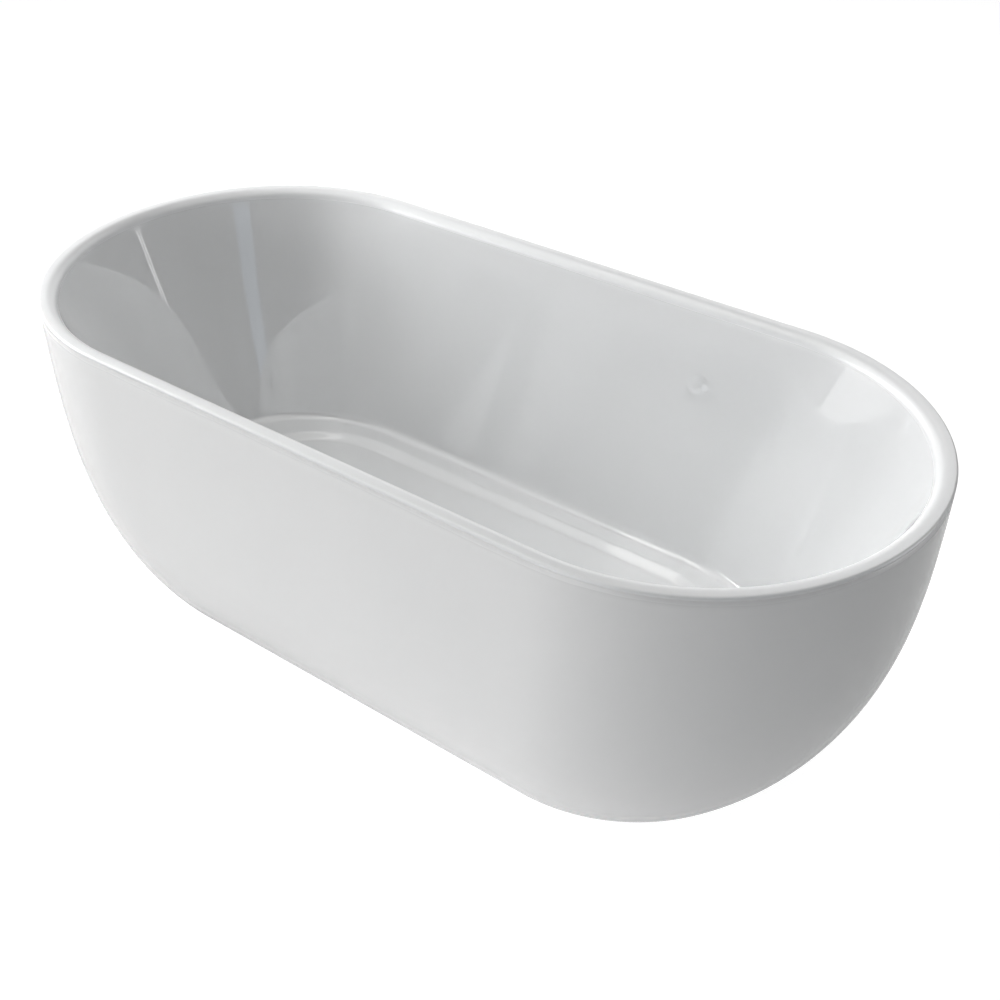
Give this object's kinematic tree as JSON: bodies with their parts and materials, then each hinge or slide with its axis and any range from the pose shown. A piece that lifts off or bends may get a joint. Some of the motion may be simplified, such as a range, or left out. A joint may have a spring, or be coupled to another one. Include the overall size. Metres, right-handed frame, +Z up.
{
  "type": "freestanding bathtub",
  "caption": "Freestanding double-ended bath: a stadium-shaped basin with a thin rolled rim inside a tucked-in skirt, on a steel underframe with screw feet, with a click waste and an overflow.",
  "frame": {"origin": "on the floor, under the middle of the bath", "axes": "+X along the bath, +Y across it away from the overflow wall, +Z up"},
  "size_m": [1.7, 0.8, 0.58],
  "materials": {
    "acrylic": "high gloss, sanitary acrylic",
    "adhesive": "polished flush",
    "plywood": "raw, sealed with resin",
    "galvanised_steel": "galvanised",
    "zinc_screw": "zinc plated",
    "black_plastic": "moulded, fine texture",
    "rubber": "matte",
    "chrome": "polished",
    "hose": "corrugated"
  },
  "bodies": {
    "bath": {"tub_shell": "acrylic", "outer_skirt": "acrylic", "rim_adhesive": "adhesive", "base_board": "plywood", "board_screws": "zinc_screw", "frame_rail_front": "galvanised_steel", "frame_rail_rear": "galvanised_steel", "crossmember_left": "galvanised_steel", "crossmember_middle": "galvanised_steel", "crossmember_right": "galvanised_steel", "tube_end_caps": "black_plastic", "foot_bushings": "galvanised_steel", "foot_lock_nuts": "zinc_screw", "skirt_brackets": "galvanised_steel", "bracket_inserts": "black_plastic", "bracket_screws": "zinc_screw", "waste_flange": "chrome", "flange_seal": "rubber", "housing_seal": "rubber", "waste_housing": "black_plastic", "plug_cartridge": "black_plastic", "plug_spring": "zinc_screw", "overflow_cover": "chrome", "overflow_screw": "chrome", "overflow_wall_seal": "rubber", "overflow_elbow": "black_plastic", "overflow_hose": "hose", "hose_nut_upper": "black_plastic", "hose_nut_lower": "black_plastic"},
    "plug": {"plug_cap": "chrome", "plug_seal": "rubber", "plug_stem": "zinc_screw"},
    "foot_1": {"foot_1_pad": "black_plastic", "foot_1_stud": "zinc_screw"},
    "foot_2": {"foot_2_pad": "black_plastic", "foot_2_stud": "zinc_screw"},
    "foot_3": {"foot_3_pad": "black_plastic", "foot_3_stud": "zinc_screw"},
    "foot_4": {"foot_4_pad": "black_plastic", "foot_4_stud": "zinc_screw"},
    "foot_5": {"foot_5_pad": "black_plastic", "foot_5_stud": "zinc_screw"},
    "foot_6": {"foot_6_pad": "black_plastic", "foot_6_stud": "zinc_screw"}
  },
  "joints": [
    {"name": "plug_press", "type": "slide", "parent": "bath", "child": "plug", "axis": [0, 0, 1], "range_m": [-0.008, 0], "stiffness_N_per_m": 400, "springref_m": 0.01, "deforming": ["plug_spring"]},
    {"name": "foot_1_height", "type": "slide", "parent": "bath", "child": "foot_1", "axis": [0, 0, 1], "range_m": [-0.02, 0]},
    {"name": "foot_2_height", "type": "slide", "parent": "bath", "child": "foot_2", "axis": [0, 0, 1], "range_m": [-0.02, 0]},
    {"name": "foot_3_height", "type": "slide", "parent": "bath", "child": "foot_3", "axis": [0, 0, 1], "range_m": [-0.02, 0]},
    {"name": "foot_4_height", "type": "slide", "parent": "bath", "child": "foot_4", "axis": [0, 0, 1], "range_m": [-0.02, 0]},
    {"name": "foot_5_height", "type": "slide", "parent": "bath", "child": "foot_5", "axis": [0, 0, 1], "range_m": [-0.02, 0]},
    {"name": "foot_6_height", "type": "slide", "parent": "bath", "child": "foot_6", "axis": [0, 0, 1], "range_m": [-0.02, 0]}
  ]
}
